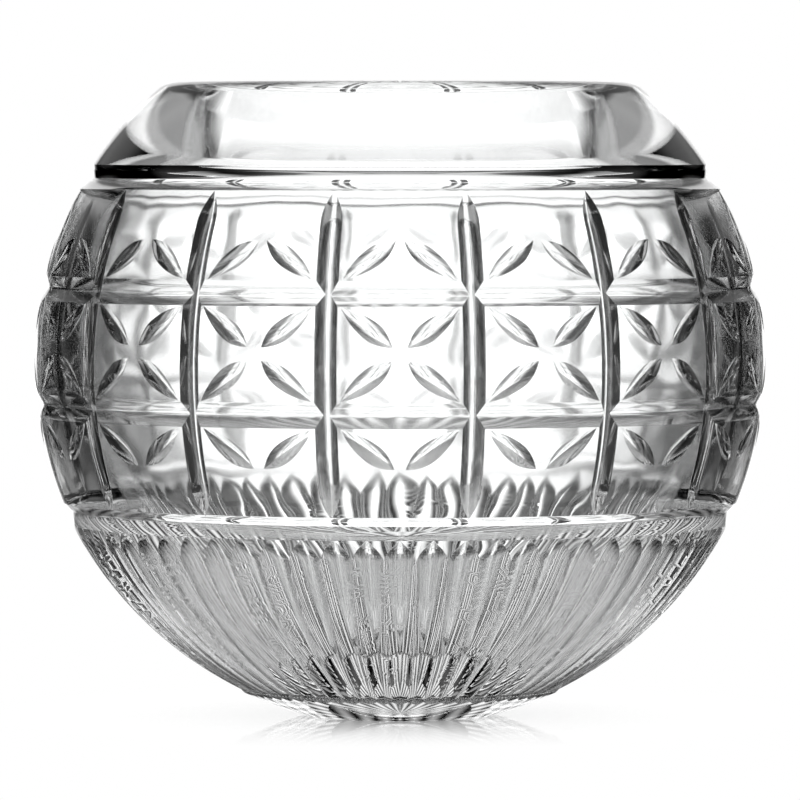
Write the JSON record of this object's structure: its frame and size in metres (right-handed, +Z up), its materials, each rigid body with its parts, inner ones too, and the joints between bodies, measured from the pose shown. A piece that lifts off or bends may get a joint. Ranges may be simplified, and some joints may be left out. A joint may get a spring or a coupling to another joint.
{
  "type": "rose bowl vase",
  "caption": "Round cut crystal rose bowl with a smooth collar, a panelled band with leaf cuts, a fluted lower bowl and a flat foot.",
  "frame": {"origin": "centre of the foot on the table", "axes": "+Z up along the axis of the bowl, -Y towards the viewer through the middle of a panel"},
  "size_m": [0.2032, 0.2032, 0.176],
  "materials": {
    "clear_crystal": "clear cut crystal, acid polished"
  },
  "bodies": {
    "root": {"crystal_bowl": "clear_crystal"}
  },
  "joints": []
}
